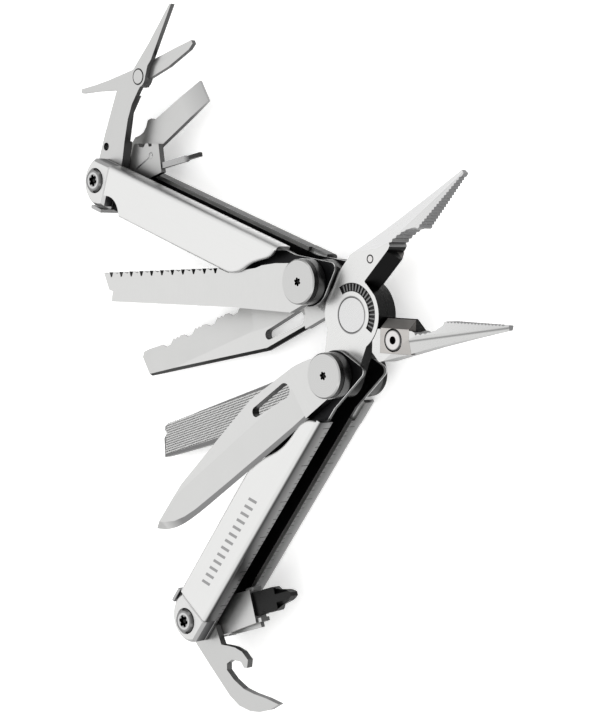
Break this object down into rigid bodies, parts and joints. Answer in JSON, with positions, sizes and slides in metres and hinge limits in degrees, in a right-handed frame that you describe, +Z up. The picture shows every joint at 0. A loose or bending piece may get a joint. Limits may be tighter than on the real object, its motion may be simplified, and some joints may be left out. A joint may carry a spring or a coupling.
{
  "type": "folding multi tool",
  "caption": "Folding pliers tool lying open, handles spread, outside blades and inside tools fanned out of both handles.",
  "frame": {"origin": "centre of the lower handle's rear pivot head, on the surface that the tool rests on", "axes": "+Z up through the thickness to the front side, +X from the handles towards the jaw tips, +Y from the lower handle towards the upper handle"},
  "size_m": [0.1577, 0.1929, 0.018],
  "materials": {
    "shell_steel": "fine bead and brush",
    "frame_steel": "dark satin",
    "jaw_steel": "satin",
    "blade_steel": "fine ground",
    "tool_steel": "satin",
    "hardware_steel": "polished",
    "hard_steel": "ground",
    "black_oxide": "black oxide",
    "bronze": "plain"
  },
  "bodies": {
    "pliers": {"upper_jaw": "jaw_steel", "main_rivet": "hardware_steel", "upper_cutter_insert": "hard_steel", "upper_cutter_screw": "hardware_steel"},
    "lower_jaw_half": {"lower_jaw": "jaw_steel", "lower_cutter_insert": "hard_steel", "lower_cutter_screw": "hardware_steel"},
    "lower_handle": {"lower_frame": "frame_steel", "lower_front_shell": "shell_steel", "lower_rear_shell": "shell_steel", "lower_pivot_post": "hardware_steel", "lower_pivot_screw": "hardware_steel", "lower_end_post": "hardware_steel", "lower_end_screw": "hardware_steel", "lower_blade_washers": "bronze", "lower_lock_pin": "hardware_steel", "lower_lock_spring": "tool_steel", "lower_tool_spacers": "bronze"},
    "lower_lock": {"lower_lock_lever": "tool_steel"},
    "upper_handle": {"upper_frame": "frame_steel", "upper_front_shell": "shell_steel", "upper_rear_shell": "shell_steel", "upper_pivot_post": "hardware_steel", "upper_pivot_screw": "hardware_steel", "upper_end_post": "hardware_steel", "upper_end_screw": "hardware_steel", "upper_blade_washers": "bronze", "upper_lock_pin": "hardware_steel", "upper_lock_spring": "tool_steel", "upper_tool_spacers": "bronze"},
    "upper_lock": {"upper_lock_lever": "tool_steel"},
    "knife": {"knife": "blade_steel"},
    "file": {"metal_file": "blade_steel"},
    "saw": {"saw": "blade_steel"},
    "serrated": {"serrated_knife": "blade_steel"},
    "opener": {"can_opener": "tool_steel"},
    "large_driver": {"large_bit_driver": "tool_steel"},
    "large_bit": {"large_bit": "black_oxide"},
    "scissors": {"scissors_body": "tool_steel", "scissors_rivet": "hardware_steel", "scissors_spring": "tool_steel"},
    "scissors_lever": {"scissors_lever": "tool_steel"},
    "flat_driver": {"flat_screwdriver": "tool_steel"},
    "small_driver": {"small_bit_driver": "tool_steel", "small_bit_pin": "hardware_steel"},
    "small_bit": {"small_bit": "tool_steel"}
  },
  "joints": [
    {"name": "jaw_pivot", "type": "hinge", "parent": "pliers", "child": "lower_jaw_half", "pos_m": [0.00489, 0.01523, 0.009], "axis": [0, 0, 1], "range_deg": [-12, 8]},
    {"name": "lower_handle_fold", "type": "hinge", "parent": "pliers", "child": "lower_handle", "pos_m": [0, 0, 0.009], "axis": [0, 0, 1], "range_deg": [0, 138]},
    {"name": "upper_handle_fold", "type": "hinge", "parent": "lower_jaw_half", "child": "upper_handle", "pos_m": [-0.00847, 0.02404, 0.009], "axis": [0, 0, 1], "range_deg": [-115, 8]},
    {"name": "knife_pivot", "type": "hinge", "parent": "lower_handle", "child": "knife", "pos_m": [0, 0, 0.009], "axis": [0, 0, 1], "range_deg": [-44, 17.5]},
    {"name": "file_pivot", "type": "hinge", "parent": "lower_handle", "child": "file", "pos_m": [0, 0, 0.009], "axis": [0, 0, 1], "range_deg": [-8, 36]},
    {"name": "saw_pivot", "type": "hinge", "parent": "upper_handle", "child": "saw", "pos_m": [-0.00847, 0.02404, 0.009], "axis": [0, 0, 1], "range_deg": [-18.4, 42]},
    {"name": "serrated_knife_pivot", "type": "hinge", "parent": "upper_handle", "child": "serrated", "pos_m": [-0.00847, 0.02404, 0.009], "axis": [0, 0, 1], "range_deg": [-36, 8]},
    {"name": "can_opener_pivot", "type": "hinge", "parent": "lower_handle", "child": "opener", "pos_m": [-0.05577, -0.06742, 0.009], "axis": [0, 0, -1], "range_deg": [-88, 87]},
    {"name": "large_driver_pivot", "type": "hinge", "parent": "lower_handle", "child": "large_driver", "pos_m": [-0.05577, -0.06742, 0.009], "axis": [0, 0, -1], "range_deg": [-35, 140]},
    {"name": "large_bit_slide", "type": "slide", "parent": "large_driver", "child": "large_bit", "axis": [0.9641, 0.2656, 0], "range_m": [0, 0.012]},
    {"name": "scissors_pivot", "type": "hinge", "parent": "upper_handle", "child": "scissors", "pos_m": [-0.09021, 0.05526, 0.009], "axis": [0, 0, -1], "range_deg": [-90, 64]},
    {"name": "scissors_cut", "type": "hinge", "parent": "scissors", "child": "scissors_lever", "pos_m": [-0.07604, 0.08367, 0.009], "axis": [0, 0, 1], "range_deg": [0, 32], "stiffness_Nm_per_rad": 0.004, "springref_deg": -11.46},
    {"name": "flat_screwdriver_pivot", "type": "hinge", "parent": "upper_handle", "child": "flat_driver", "pos_m": [-0.09021, 0.05526, 0.009], "axis": [0, 0, -1], "range_deg": [-125, 50]},
    {"name": "small_driver_pivot", "type": "hinge", "parent": "upper_handle", "child": "small_driver", "pos_m": [-0.09021, 0.05526, 0.009], "axis": [0, 0, -1], "range_deg": [-147, 28]},
    {"name": "small_bit_slide", "type": "slide", "parent": "small_driver", "child": "small_bit", "axis": [0.9923, 0.1236, 0], "range_m": [0, 0.009]},
    {"name": "lower_lock_release", "type": "hinge", "parent": "lower_handle", "child": "lower_lock", "pos_m": [-0.0421, -0.04304, 0.009], "axis": [0, 0, 1], "range_deg": [-1.8, 0], "stiffness_Nm_per_rad": 0.3, "springref_deg": 1.15},
    {"name": "upper_lock_release", "type": "hinge", "parent": "upper_handle", "child": "upper_lock", "pos_m": [-0.0663, 0.04077, 0.009], "axis": [0, 0, 1], "range_deg": [0, 1.8], "stiffness_Nm_per_rad": 0.3, "springref_deg": -1.15}
  ]
}
